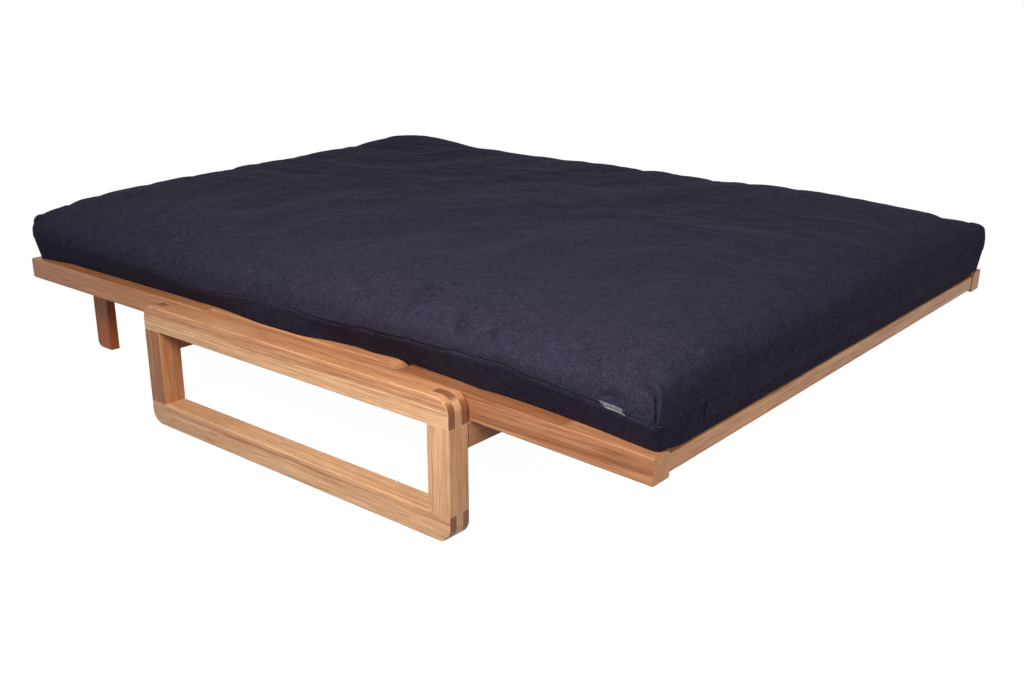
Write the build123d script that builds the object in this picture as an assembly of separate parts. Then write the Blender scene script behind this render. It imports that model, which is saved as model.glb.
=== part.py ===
from build123d import *
from math import cos, radians, tan
import os

# A folding futon bed, modelled flat as a bed, in millimetres. +Z is up, the seat end faces -Y, the head end
# faces +Y, and the left side is -X. The origin is on the floor under the middle of the slatted frame.

# Slatted frame
frame_length = 1900.0
frame_width = 1508.0
platform_height = 281.0
seat_length = 558.0
back_length = 600.0
seat_fall = 1.8
rail_depth = 50.0
rail_thickness = 50.0
back_rail_thickness = 40.0
arris = 3.0
slat_arris = 2.0
rail_inner_round = 14.0
tail_heel_round = 16.0

# Hoops
hoop_setback = 386.0
hoop_tail_reach = 151.0
hoop_thickness = 53.0
hoop_leg_width = 54.0
hoop_top_depth = 57.0
hoop_foot_depth = 54.0
hoop_corner_round = 32.0
hoop_gap = 3.0
hoop_tongue_share = 1 / 3

# Rails between the hoops
cross_rail_width = 54.0
cross_rail_depth = 56.7
runner_width = 18.0
runner_depth = 24.0
dowel_radius = 5.0
dowel_length = 60.0
dowel_spacing = 26.0

# Rails, slats and bearers of the three leaves
end_rail_width = 63.0
end_rail_depth = 34.0
end_rail_lift = 6.0
end_rail_setback = 2.0
inner_rail_width = 60.0
hinge_end_margin = 12.0
slat_width = 70.0
slat_thickness = 18.0
slat_drop = 2.0
seat_slat_count = 3
back_slat_count = 3
tail_slat_count = 4
housing_depth = 12.0
tenon_shoulder = 10.0
bearer_width = 40.0

# Small legs under the tail end
leg_thickness = 24.0
leg_inset = 162.0
leg_heel_round = 18.0
leg_tenon_height = 20.0
leg_tenon_shoulder = 12.0

# Seat hinge: a steel plate on each back rail turns on a pin in the seat rail
plate_thickness = 3.0
plate_inset = 13.5
plate_eye_radius = 18.0
plate_depth = 30.0
plate_reach = 142.0
plate_play = 0.5
plate_screws = 3
plate_screw_pitch = 34.0
plate_screw_margin = 16.0
back_rail_gap = 32.0
hinge_pin_radius = 4.0
hinge_pin_margin = 4.0

# Tail hinge: a butt hinge under each joint between a back rail and a tail rail
butt_length = 60.0
butt_width = 28.0
butt_thickness = 2.5
butt_knuckle_radius = 5.0
butt_knuckle_drop = 5.5
butt_pin_radius = 2.5
butt_joint_gap = 1.5
butt_play = 0.4
butt_screws = 2
butt_screw_pitch = 24.0
butt_screw_margin = 12.0

# Screws
screw_radius = 2.2
screw_head_radius = 4.5
screw_head_height = 2.4
screw_length = 28.0

# Mattress
mattress_side_inset = 1.0
mattress_front_inset = 4.0
mattress_rear_inset = 25.0
mattress_seam_height = 54.0
mattress_rim_height = 112.0
mattress_shoulder_width = 150.0
mattress_shoulder_rise = 32.0
mattress_crown_rise = 22.0
mattress_foot_inset = 22.0
mattress_rim_inset = 30.0
mattress_waist_pull = 8.0
mattress_end_reach = 200.0
mattress_corner_round = 40.0
shoulder_bow_share = 0.7
end_sink_share = 0.7
end_slices = 6
seat_fold_reach = 165.0
tail_fold_reach = 150.0
label_length = 46.0
label_height = 20.0
label_thickness = 1.2
label_place = 64.0
label_rise = 4.0

# Fits
fit = 0.3
pin_fit = 0.1
overrun = 5.0

# Places worked out from the sizes above
half_width = frame_width / 2
front_y = -frame_length / 2
rear_y = frame_length / 2
seat_pivot_y = front_y + seat_length
tail_pivot_y = seat_pivot_y + back_length
rail_bottom = platform_height - rail_depth
seat_pivot_z = platform_height - rail_depth / 2
tail_pivot_z = rail_bottom - butt_knuckle_drop
hoop_front_y = front_y + hoop_setback
hoop_rear_y = tail_pivot_y + hoop_tail_reach
hoop_length = hoop_rear_y - hoop_front_y
hoop_inner_x = half_width + hoop_gap
hoop_outer_x = hoop_inner_x + hoop_thickness
seat_inner_x = half_width - rail_thickness
plate_outer_x = half_width - plate_inset
back_outer_x = plate_outer_x - plate_thickness
back_inner_x = back_outer_x - back_rail_thickness
back_front_y = seat_pivot_y + back_rail_gap
back_rear_y = tail_pivot_y - butt_joint_gap / 2
tail_front_y = tail_pivot_y + butt_joint_gap / 2
slat_top = platform_height - slat_drop
slat_bottom = slat_top - slat_thickness
end_rail_bottom = rail_bottom + end_rail_lift
end_rail_top = end_rail_bottom + end_rail_depth
runner_top = rail_bottom - fit
runner_bottom = runner_top - runner_depth
cross_rail_bottom = runner_top - cross_rail_depth
mattress_width = frame_width - 2 * mattress_side_inset
mattress_bottom = platform_height + fit

nodes = {}


def block(x0, x1, y0, y1, z0, z1):
    """A box between two opposite corners."""
    return Pos((x0 + x1) / 2, (y0 + y1) / 2, (z0 + z1) / 2) * Box(x1 - x0, y1 - y0, z1 - z0)


def eased(solid, axis, radius):
    """A box with its four edges along one axis rounded."""
    return fillet(solid.edges().filter_by(axis), radius)


def rod(x, y, z, turn, radius, length):
    """A round bar centred on a point and turned from +Z."""
    return Pos(x, y, z) * turn * Cylinder(radius, length)


def along_x():
    """The turn that lays a piece built along +Z down along +X."""
    return Rot(0, 90, 0)


def turned(piece, angle):
    """A piece turned about the axis of the seat hinge."""
    pivot = Pos(0, seat_pivot_y, seat_pivot_z)
    return pivot * Rot(angle, 0, 0) * pivot.inverse() * piece


def on_seat(piece):
    """A piece of the seat leaf, which falls a little to the front."""
    return turned(piece, seat_fall)


def in_place(piece):
    """A piece of a leaf that lies level."""
    return piece


def keep(name, piece):
    """One piece, or one group of like pieces, under its own name."""
    nodes[name] = piece


def keep_both(name, left, settle=in_place):
    """The left piece and its mirror image on the right."""
    keep("left_" + name, settle(left))
    keep("right_" + name, settle(mirror(left, about=Plane.YZ)))


def group(solids):
    """Several like solids in one node."""
    return Compound(children=[solid.solid() for solid in solids])


def mirrored(solids):
    """The given solids and their mirror images."""
    return solids + [mirror(solid, about=Plane.YZ) for solid in solids]


def screw(x, y, z, turn):
    """A pan-head screw. Its head stands on the point, and its shank runs along the turned -Z."""
    head = Pos(0, 0, screw_head_height / 2) * Cylinder(screw_head_radius, screw_head_height)
    shank = Pos(0, 0, -screw_length / 2) * Cylinder(screw_radius, screw_length)
    return Pos(x, y, z) * turn * (head + shank)


def screw_hole(x, y, z, turn):
    """The bore for such a screw."""
    length = screw_length + fit
    bore = Pos(0, 0, -length / 2) * Cylinder(screw_radius + pin_fit, length)
    return Pos(x, y, z) * turn * bore


def hoop_blank():
    """The left hoop, before it is split into its four members."""
    outline = RectangleRounded(hoop_length, platform_height, hoop_corner_round)
    window_height = platform_height - hoop_top_depth - hoop_foot_depth
    window = Pos(0, (hoop_foot_depth - hoop_top_depth) / 2)
    window *= Rectangle(hoop_length - 2 * hoop_leg_width, window_height)
    ring = extrude(Plane.YZ * (outline - window), hoop_thickness / 2, both=True)
    for face in (ring.faces().sort_by(Axis.X)[0], ring.faces().sort_by(Axis.X)[-1]):
        edges = [edge for edge in ring.edges() if abs(edge.center().X - face.center().X) < pin_fit]
        ring = fillet(edges, arris)
    x_mid = -(hoop_inner_x + hoop_outer_x) / 2
    y_mid = (hoop_front_y + hoop_rear_y) / 2
    return Pos(x_mid, y_mid, platform_height / 2) * ring


def add_hoops():
    """Two hoops, each with its top and foot rails forked over tongues on its two legs."""
    blank = hoop_blank()
    x0, x1 = -hoop_outer_x, -hoop_inner_x
    cheek = hoop_thickness * (1 - hoop_tongue_share) / 2
    shaft_top = platform_height - hoop_top_depth
    top = blank & block(x0, x1, hoop_front_y, hoop_rear_y, shaft_top, platform_height)
    foot = blank & block(x0, x1, hoop_front_y, hoop_rear_y, 0, hoop_foot_depth)
    for name, y0 in (("front", hoop_front_y), ("rear", hoop_rear_y - hoop_leg_width)):
        y1 = y0 + hoop_leg_width
        tongue = block(x0 + cheek, x1 - cheek, y0, y1, 0, platform_height)
        shaft = block(x0, x1, y0, y1, hoop_foot_depth, shaft_top)
        keep_both("hoop_" + name + "_leg", blank & (tongue + shaft))
        top -= tongue
        foot -= tongue
    keep_both("hoop_top_rail", top)
    keep_both("hoop_foot_rail", foot)


def seat_underside(y):
    """Height of the underside of the seat rails at a place along the bed."""
    lean = radians(seat_fall)
    return seat_pivot_z - rail_depth / 2 / cos(lean) + (y - seat_pivot_y) * tan(lean)


def cross_rail(y0, top_front, top_rear):
    """A board between the hoops, whose top may be planed to the fall of the seat."""
    y1 = y0 + cross_rail_width
    corners = ((y0, cross_rail_bottom), (y1, cross_rail_bottom), (y1, top_rear), (y0, top_front))
    board = extrude(Plane.YZ * make_face(Polyline(*corners, close=True)), hoop_inner_x, both=True)
    return eased(board, Axis.X, arris)


def runner(y0, y1):
    """A batten beside the left hoop, under the side rails, with its front planed to the fall of the seat."""
    corners = (
        (y0, runner_bottom),
        (y1, runner_bottom),
        (y1, runner_top),
        (seat_pivot_y, seat_underside(seat_pivot_y) - fit),
        (y0, seat_underside(y0) - fit),
    )
    batten = extrude(Plane.YZ * make_face(Polyline(*corners, close=True)), runner_width / 2, both=True)
    return Pos(runner_width / 2 - hoop_inner_x, 0, 0) * batten


def add_base_rails():
    """Two cross rails dowelled to the hoop legs, and two runners housed in the cross rails."""
    rear_y0 = hoop_rear_y - cross_rail_width
    front_top = (seat_underside(hoop_front_y) - fit, seat_underside(hoop_front_y + cross_rail_width) - fit)
    boards = {
        "front": cross_rail(hoop_front_y, *front_top),
        "rear": cross_rail(rear_y0, runner_top, runner_top),
    }
    batten = runner(hoop_front_y + cross_rail_width - housing_depth, rear_y0 + housing_depth)
    pocket = runner(
        hoop_front_y + cross_rail_width - housing_depth - fit,
        rear_y0 + housing_depth + fit,
    )
    z = (cross_rail_bottom + runner_bottom) / 2
    pins, holes = [], []
    for y in (hoop_front_y + cross_rail_width / 2, rear_y0 + cross_rail_width / 2):
        for step in (-dowel_spacing / 2, dowel_spacing / 2):
            place = (-hoop_inner_x, y + step, z, along_x())
            pins.append(rod(*place, dowel_radius, dowel_length))
            holes.append(rod(*place, dowel_radius + pin_fit, dowel_length + 2 * fit))
    for name, board in boards.items():
        for cut in mirrored(holes) + mirrored([pocket]):
            board -= cut
        keep(name + "_cross_rail", board)
    for name in ("left_hoop_front_leg", "left_hoop_rear_leg", "right_hoop_front_leg", "right_hoop_rear_leg"):
        for hole in mirrored(holes):
            nodes[name] -= hole
    keep_both("runner", batten)
    keep("base_dowels", group(mirrored(pins)))


def side_rail(x0, x1, y0, y1):
    """A left side rail with eased edges, more rounded along its inner top edge."""
    section = Rectangle(x1 - x0, rail_depth)
    inner_top = section.vertices().sort_by(Axis.X)[-2:].sort_by(Axis.Y)[-1]
    section = fillet([corner for corner in section.vertices() if corner != inner_top], arris)
    inner_top = section.vertices().sort_by(lambda corner: corner.X + corner.Y)[-1]
    section = fillet(inner_top, rail_inner_round)
    bar = extrude(Plane.XZ * section, (y1 - y0) / 2, both=True)
    return Pos((x0 + x1) / 2, (y0 + y1) / 2, platform_height - rail_depth / 2) * bar


def tenoned_rail(y0, y1, x_face):
    """A rail across a leaf, with a tenon on each end."""
    body = block(-x_face, x_face, y0, y1, end_rail_bottom, end_rail_top)
    body = eased(body, Axis.X, arris)
    return body + tenons(y0, y1, x_face, 0)


def tenons(y0, y1, x_face, play):
    """The bar that makes both tenons of such a rail, or with play both their mortises."""
    reach = x_face + housing_depth - fit + play
    y_in = tenon_shoulder - play
    z_in = arris - play
    return block(-reach, reach, y0 + y_in, y1 - y_in, end_rail_bottom + z_in, end_rail_top - z_in)


def slat_centres(y0, y1, count):
    """Middles of slats that leave equal gaps between two rails."""
    gap = (y1 - y0 - count * slat_width) / (count + 1)
    return [y0 + gap + slat_width / 2 + k * (gap + slat_width) for k in range(count)]


def slat(y, x_face, play=0):
    """A slat housed in both side rails, or with play the bar that cuts its housings."""
    reach = x_face + housing_depth - fit + play
    half = slat_width / 2 + play
    bar = block(-reach, reach, y - half, y + half, slat_bottom - play, slat_top + play)
    return eased(bar, Axis.X, slat_arris)


def nosed_bar(x0, x1, nose_y, far_y):
    """A bar as deep as a side rail, square at its far end, with a round nose about a line across the bed."""
    bar = block(x0, x1, min(nose_y, far_y), max(nose_y, far_y), rail_bottom, platform_height)
    return bar + rod((x0 + x1) / 2, nose_y, seat_pivot_z, along_x(), rail_depth / 2, x1 - x0)


def bearer(y0, y1, play=0):
    """The bar under the slats, housed in the rails at its ends, or with play the bar that cuts its seats."""
    reach = housing_depth - fit + play
    half = bearer_width / 2 + play
    return block(-half, half, y0 - reach, y1 + reach, end_rail_bottom - play, slat_bottom + play)


def add_leaf(leaf, rail, rails_across, x_face, count, settle, cut_more=(), screws_more=()):
    """Side rails, rails across, a bearer, slats and screws of one leaf."""
    (front_name, front0, front1), (rear_name, rear0, rear1) = rails_across
    pieces = {front_name: tenoned_rail(front0, front1, x_face), rear_name: tenoned_rail(rear0, rear1, x_face)}
    for y0, y1 in ((front0, front1), (rear0, rear1)):
        rail -= tenons(y0, y1, x_face, fit)
    for name in pieces:
        pieces[name] -= bearer(front1, rear0, fit)
    bar = bearer(front1, rear0)
    places = slat_centres(front1, rear0, count)
    screws = []
    for number, y in enumerate(places, 1):
        seat_z = slat_top - screw_head_height
        board = slat(y, x_face)
        well_depth = screw_head_height + pin_fit
        board -= rod(0, y, slat_top - well_depth / 2, Rot(0, 0, 0), screw_head_radius + fit, well_depth)
        hole = screw_hole(0, y, seat_z, Rot(0, 0, 0))
        keep(leaf + "_slat_" + str(number), settle(board - hole))
        rail -= slat(y, x_face, fit)
        bar -= hole
        screws.append(screw(0, y, seat_z, Rot(0, 0, 0)))
    for cut in cut_more:
        rail -= cut
    for name, piece in pieces.items():
        keep(name, settle(piece))
    keep(leaf + "_bearer", settle(bar))
    keep_both(leaf + "_rail", rail, settle)
    screws += mirrored(list(screws_more))
    keep(leaf + "_screws", group([settle(one) for one in screws]))


def add_seat_leaf():
    """The front leaf, which slides on the base. Its rails' round noses are slotted for the hinge plates."""
    nose = rail_depth / 2
    rail = side_rail(-half_width, -seat_inner_x, front_y, seat_pivot_y + nose)
    rail &= nosed_bar(-half_width, -seat_inner_x, seat_pivot_y, front_y)
    slot = block(
        -plate_outer_x - plate_play,
        -back_outer_x + plate_play,
        seat_pivot_y - plate_eye_radius - plate_play,
        seat_pivot_y + nose + overrun,
        rail_bottom - overrun,
        platform_height + overrun,
    )
    pin_length = rail_thickness - 2 * hinge_pin_margin
    pin_place = (rail_thickness / 2 - half_width, seat_pivot_y, seat_pivot_z, along_x())
    pin_hole = rod(*pin_place, hinge_pin_radius + pin_fit, pin_length + 2 * fit)
    end0 = front_y + end_rail_setback
    inner1 = seat_pivot_y - hinge_end_margin
    rails_across = (
        ("seat_front_rail", end0, end0 + end_rail_width),
        ("seat_inner_rail", inner1 - inner_rail_width, inner1),
    )
    add_leaf("seat", rail, rails_across, seat_inner_x, seat_slat_count, on_seat, (slot, pin_hole))
    keep("seat_hinge_pins", group(mirrored([rod(*pin_place, hinge_pin_radius, pin_length)])))


def fold_plate():
    """The left hinge plate on the outer face of the back rail, with its eye on the seat hinge pin."""
    bar = Pos(plate_reach / 2, 0) * Rectangle(plate_reach, plate_depth)
    bar = fillet(bar.vertices().sort_by(Axis.X)[-2:], arris)
    outline = bar + Circle(plate_eye_radius) - Circle(hinge_pin_radius + pin_fit)
    plate = extrude(Plane.YZ * outline, plate_thickness / 2, both=True)
    return Pos(-(plate_outer_x + back_outer_x) / 2, seat_pivot_y, seat_pivot_z) * plate


def plate_screw_places():
    """Screws through the hinge plate into the back rail, heads outwards."""
    last = seat_pivot_y + plate_reach - plate_screw_margin
    lines = [last - k * plate_screw_pitch for k in range(plate_screws)]
    return [(-plate_outer_x, y, seat_pivot_z, Rot(0, -90, 0)) for y in lines]


def butt_screw_places(side):
    """Screws up through the back's leaf of the butt hinge, with side -1, or the tail's, with side 1."""
    first = butt_length - butt_screw_margin
    lines = [tail_pivot_y + side * (first - k * butt_screw_pitch) for k in range(butt_screws)]
    return [(-butt_centre_x(), y, rail_bottom - butt_thickness, Rot(180, 0, 0)) for y in lines]


def butt_centre_x():
    """Middle of the width that the back rail and the tail rail share."""
    return (back_outer_x + seat_inner_x) / 2


def knuckle(x0, x1, radius):
    """A stretch of the butt hinge's barrel."""
    return rod((x0 + x1) / 2, tail_pivot_y, tail_pivot_z, along_x(), radius, x1 - x0)


def butt_leaf(side, stretches, gaps):
    """One leaf of the left butt hinge, with its own knuckles and room for the other leaf's."""
    x0 = -butt_centre_x() - butt_width / 2
    x1 = x0 + butt_width
    near = tail_pivot_y + side * butt_joint_gap / 2
    far = tail_pivot_y + side * butt_length
    leaf = block(x0, x1, min(near, far), max(near, far), rail_bottom - butt_thickness, rail_bottom)
    for start, end in gaps:
        leaf -= knuckle(x0 + start - butt_play / 2, x0 + end + butt_play / 2, butt_knuckle_radius + butt_play)
    for start, end in stretches:
        web_x0, web_x1 = x0 + start, x0 + end
        near_edge = tail_pivot_y + side * butt_knuckle_radius
        web = block(
            web_x0,
            web_x1,
            min(tail_pivot_y, near_edge),
            max(tail_pivot_y, near_edge),
            tail_pivot_z,
            rail_bottom,
        )
        web -= block(web_x0, web_x1, tail_pivot_y - butt_joint_gap / 2, tail_pivot_y + butt_joint_gap / 2,
                     tail_pivot_z + butt_knuckle_radius - butt_play, rail_bottom)
        leaf += web + knuckle(web_x0, web_x1, butt_knuckle_radius)
    leaf -= knuckle(x0 - overrun, x1 + overrun, butt_pin_radius + pin_fit)
    for place in butt_screw_places(side):
        leaf -= screw_hole(*place[:2], place[2] - overrun, place[3])
    return leaf


def add_back_leaf():
    """The middle leaf, which turns up as the sofa's back. Its round-nosed rails carry the hinge plates."""
    rail = side_rail(-back_outer_x, -back_inner_x, back_front_y, back_rear_y)
    rail &= nosed_bar(-back_outer_x, -back_inner_x, back_front_y + rail_depth / 2, back_rear_y)
    places = plate_screw_places() + butt_screw_places(-1)
    holes = [screw_hole(*place) for place in places]
    inner0 = back_front_y + hinge_end_margin
    inner1 = back_rear_y - hinge_end_margin
    rails_across = (
        ("back_lower_rail", inner0, inner0 + inner_rail_width),
        ("back_upper_rail", inner1 - inner_rail_width, inner1),
    )
    screws = [screw(*place) for place in places]
    add_leaf("back", rail, rails_across, back_inner_x, back_slat_count, in_place, holes, screws)
    plate = fold_plate()
    for place in plate_screw_places():
        plate -= screw_hole(*place)
    keep_both("hinge_plate", plate)


def small_leg():
    """A small left leg under the tail's end rail, with a tenon in it and a rounded heel."""
    y1 = rear_y - end_rail_setback
    outline = Polyline(
        (y1 - end_rail_width, 0),
        (y1, 0),
        (y1, end_rail_bottom),
        (y1 - end_rail_width, end_rail_bottom),
        close=True,
    )
    face = make_face(outline)
    heel = face.vertices().sort_by(lambda corner: corner.X - corner.Y)[-1]
    face = fillet(heel, leg_heel_round)
    shaft = extrude(Plane.YZ * face, leg_thickness / 2, both=True)
    return Pos(leg_inset + leg_thickness / 2 - half_width, 0, 0) * shaft


def leg_tenon(play):
    """The tenon on top of the left small leg, or with play its mortise."""
    y1 = rear_y - end_rail_setback
    inset = leg_tenon_shoulder - play
    x0 = leg_inset - half_width - play
    z1 = end_rail_bottom + leg_tenon_height + play
    y0 = y1 - end_rail_width
    return block(x0, x0 + leg_thickness + 2 * play, y0 + inset, y1 - inset, end_rail_bottom, z1)


def add_tail_leaf():
    """The rear leaf, which hangs behind the back of the sofa and stands on two small legs as a bed."""
    rail = side_rail(-half_width, -seat_inner_x, tail_front_y, rear_y)
    heel = rail.edges().filter_by(Axis.X).sort_by(lambda edge: edge.center().Y - edge.center().Z)[-1]
    rail = fillet(heel, tail_heel_round)
    places = butt_screw_places(1)
    inner0 = tail_front_y + hinge_end_margin
    end1 = rear_y - end_rail_setback
    rails_across = (
        ("tail_inner_rail", inner0, inner0 + inner_rail_width),
        ("tail_end_rail", end1 - end_rail_width, end1),
    )
    holes = [screw_hole(*place) for place in places]
    screws = [screw(*place) for place in places]
    add_leaf("tail", rail, rails_across, seat_inner_x, tail_slat_count, in_place, holes, screws)
    for mortise in mirrored([leg_tenon(fit)]):
        nodes["tail_end_rail"] -= mortise
    keep_both("small_leg", small_leg() + leg_tenon(0))


def add_butt_hinges():
    """Two butt hinges under the tail joint: the tail's knuckle between the back's two, on one pin."""
    third = butt_width / 3
    outer = ((0, third), (butt_width - third, butt_width))
    middle = ((third + butt_play / 2, butt_width - third - butt_play / 2),)
    keep("back_butt_leaves", group(mirrored([butt_leaf(-1, outer, middle)])))
    keep("tail_butt_leaves", group(mirrored([butt_leaf(1, middle, outer)])))
    x0 = -butt_centre_x() - butt_width / 2
    keep("tail_hinge_pins", group(mirrored([knuckle(x0, x0 + butt_width, butt_pin_radius)])))


def cushion_section(y, fullness=1):
    """A slice across the mattress: a flat bottom, sides drawn in at the waist seam, and a crowned top."""
    half = mattress_width / 2
    foot = half - mattress_foot_inset
    seam = half - mattress_waist_pull
    rim = half - mattress_rim_inset
    shoulder = half - mattress_shoulder_width
    lower_z = mattress_seam_height / 2
    upper_z = (mattress_seam_height + mattress_rim_height) / 2
    bow_z = mattress_rim_height + mattress_shoulder_rise * shoulder_bow_share * fullness
    shoulder_z = mattress_rim_height + mattress_shoulder_rise * fullness
    crown_z = shoulder_z + mattress_crown_rise * fullness
    right = [
        ((foot, 0), (half - arris, lower_z), (seam, mattress_seam_height)),
        ((seam, mattress_seam_height), (half, upper_z), (rim, mattress_rim_height)),
        ((rim, mattress_rim_height), ((rim + shoulder) / 2, bow_z), (shoulder, shoulder_z)),
    ]
    left = [[(-x, z) for x, z in reversed(points)] for points in reversed(right)]
    crown = [((shoulder, shoulder_z), (0, crown_z), (-shoulder, shoulder_z))]
    outline = [ThreePointArc(*points) for points in right + crown + left]
    outline.append(Line((-foot, 0), (foot, 0)))
    return Plane((0, y, mattress_bottom), x_dir=(1, 0, 0), z_dir=(0, -1, 0)) * make_face(outline)


def end_profile(y_end, inward):
    """The side view of one end of the mattress, as a bar across it, to cut the end drawn in at its seam."""
    seam_y = y_end + inward * mattress_waist_pull
    rim_y = y_end + inward * mattress_rim_inset
    foot_y = y_end + inward * mattress_foot_inset
    far_y = y_end + inward * frame_length / 2
    top = mattress_rim_height + mattress_shoulder_width
    outline = [
        ThreePointArc(
            (foot_y, 0),
            (y_end + inward * arris, mattress_seam_height / 2),
            (seam_y, mattress_seam_height),
        ),
        ThreePointArc(
            (seam_y, mattress_seam_height),
            (y_end, (mattress_seam_height + mattress_rim_height) / 2),
            (rim_y, mattress_rim_height),
        ),
        Polyline(
            (rim_y, mattress_rim_height),
            (rim_y + inward * mattress_shoulder_width, top),
            (far_y, top),
            (far_y, 0),
            (foot_y, 0),
        ),
    ]
    bar = extrude(Plane.YZ * make_face(outline), mattress_width / 2 + overrun, both=True)
    return Pos(0, 0, mattress_bottom) * bar


def plan_outline(y_end, inward):
    """A block around the mattress, with rounded upright corners at one end."""
    half = mattress_width / 2 + fit
    y_out = y_end - inward * fit
    y_in = y_end + inward * frame_length / 2
    top = mattress_bottom + mattress_rim_height + mattress_shoulder_width + overrun
    slab = block(-half, half, min(y_out, y_in), max(y_out, y_in), mattress_bottom - overrun, top)
    ends = slab.edges().filter_by(Axis.Z).sort_by(lambda edge: inward * edge.center().Y)[:2]
    return fillet(ends, mattress_corner_round)


def end_panel(y_end, y_inner, inward):
    """The mattress from one of its ends to a fold, with its top sinking towards the end."""
    start = y_end - inward * overrun
    slices = []
    for step in range(end_slices):
        y = start + (y_inner - start) * step / (end_slices - 1)
        sink = max(0, 1 - abs(y - start) / mattress_end_reach) ** 2
        slices.append(cushion_section(y, 1 - end_sink_share * sink))
    panel = loft(slices) & end_profile(y_end, inward)
    return panel & plan_outline(y_end, inward)


def add_mattress():
    """One futon mattress in three panels that ride on the leaves and two parts that bend at the folds."""
    seat_end = seat_pivot_y - seat_fold_reach
    back_start = seat_pivot_y + seat_fold_reach
    back_end = tail_pivot_y - tail_fold_reach
    tail_start = tail_pivot_y + tail_fold_reach
    keep("mattress_seat", on_seat(end_panel(front_y + mattress_front_inset, seat_end - fit, 1)))
    seat_fold = [on_seat(cushion_section(seat_end)), turned(cushion_section(seat_pivot_y), seat_fall / 2)]
    keep("mattress_seat_fold", loft(seat_fold + [cushion_section(back_start)], ruled=True))
    keep("mattress_back", loft([cushion_section(back_start + fit), cushion_section(back_end - fit)]))
    keep("mattress_tail_fold", loft([cushion_section(back_end), cushion_section(tail_start)]))
    keep("mattress_tail", end_panel(rear_y - mattress_rear_inset, tail_start + fit, -1))


def add_label():
    """A small blank woven label just over the waist seam of the left side, near the front."""
    x1 = -mattress_width / 2 - fit
    y0 = front_y + label_place
    z0 = mattress_bottom + mattress_seam_height + label_rise
    tab = block(x1 - label_thickness, x1, y0, y0 + label_length, z0, z0 + label_height)
    keep("mattress_label", on_seat(tab))


add_hoops()
add_base_rails()
add_seat_leaf()
add_back_leaf()
add_tail_leaf()
add_butt_hinges()
add_mattress()
add_label()

os.makedirs("parts", exist_ok=True)
for name, piece in nodes.items():
    export_step(piece, "parts/" + name + ".step")
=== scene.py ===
"""The finished look of the folding futon bed: a slatted wooden frame on two hoops, under a padded mattress.

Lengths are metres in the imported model's frame: X runs across the bed, Y from the seat's edge to the tail's
edge, Z up. The mattress is one cover, made whole, then parted where no joint bends it.
"""
import math

import bmesh
import bpy
import numpy as np
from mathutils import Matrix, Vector


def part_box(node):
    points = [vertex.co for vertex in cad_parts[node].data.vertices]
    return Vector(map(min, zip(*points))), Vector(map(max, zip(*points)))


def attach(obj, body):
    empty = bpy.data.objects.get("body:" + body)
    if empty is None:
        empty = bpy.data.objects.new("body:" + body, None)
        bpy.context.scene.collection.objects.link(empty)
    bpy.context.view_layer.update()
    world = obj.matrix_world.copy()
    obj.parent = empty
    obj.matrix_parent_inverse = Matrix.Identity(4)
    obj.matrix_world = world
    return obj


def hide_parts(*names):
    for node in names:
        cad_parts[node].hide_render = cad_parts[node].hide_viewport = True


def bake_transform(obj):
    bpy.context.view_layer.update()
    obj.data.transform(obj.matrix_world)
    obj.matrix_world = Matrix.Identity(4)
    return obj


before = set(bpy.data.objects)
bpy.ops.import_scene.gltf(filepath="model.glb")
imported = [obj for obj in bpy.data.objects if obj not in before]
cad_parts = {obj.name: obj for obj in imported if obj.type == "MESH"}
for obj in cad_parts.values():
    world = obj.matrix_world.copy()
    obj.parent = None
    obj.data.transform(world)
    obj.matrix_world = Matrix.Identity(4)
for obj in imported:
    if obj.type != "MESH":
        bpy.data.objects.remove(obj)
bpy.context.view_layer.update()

MM = 0.001

# Camera
camera_place = (-2.1504, -1.8212, 1.0)
camera_bearing = math.radians(50.30)
camera_dip = math.radians(18.42)
camera_lens_mm = 40.04
camera_sensor_mm = 36

# Mattress, beyond what its solids give
seam_height = 54 * MM
rim_inset = 30 * MM
rim_radius = 10 * MM
outer_radius = 16 * MM
foot_inset = 4 * MM
end_sag = 8 * MM
foot_radius = 16 * MM
edge_rise = 62 * MM
crown_gain = 104 * MM
side_reach, front_reach, rear_reach = 66 * MM, 30 * MM, 16 * MM
edge_power = 0.54
corner_pull, rear_corner_pull = 11 * MM, 8 * MM
hook_length = 28 * MM
cover_spacing = 12 * MM
edge_spacing = 6 * MM
edge_zone = 60 * MM
corner_steps = 8
parting_y = -0.092
rail_inner_x = -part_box("left_seat_rail")[1].x

# Swells of the top: x and y of the middle, how far they reach in x and y, and their rise in millimetres
TOP_SWELLS = ((0.56, 0.90, 0.20, 0.20, 34), (0.15, 0.90, 0.40, 0.25, 10), (0.75, -0.70, 0.25, 0.30, 10))

# Height of the waist seam and inset of the foot along the left side, from the rear end on: y, millimetres
LEFT_SEAM = (
    (0.90, 55), (0.72, 62), (0.50, 55), (0.37, 54), (0.27, 41), (0.15, 45), (0.02, 60), (-0.18, 54),
    (-0.40, 64), (-0.61, 73), (-0.71, 65), (-0.84, 57), (-0.93, 54),
)
LEFT_FOOT = (
    (0.93, 10), (0.80, 31), (0.20, 33), (0.04, 17), (-0.09, 18), (-0.16, 34), (-0.23, 43), (-0.28, 38),
    (-0.33, 45), (-0.40, 42), (-0.56, 32), (-0.66, 40), (-0.82, 31), (-0.94, 20),
)
near_foot_zone = 0.15

# The wall between the rings: share of the way in to the rim or the foot, and share of the way up or down
UPPER_WALL = (
    (0.0, 0.035), (0.0, 0.15), (0.0, 0.31), (0.03, 0.48), (0.12, 0.64), (0.31, 0.80), (0.60, 0.93),
    (1.0, 1.0),
)
LOWER_WALL = ((0.05, 0.96), (0.27, 0.76), (0.51, 0.52), (0.74, 0.28), (0.92, 0.09), (1.0, 0.0))
seam_tuck_share = 0.22
dart_height = 47 * MM

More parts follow.
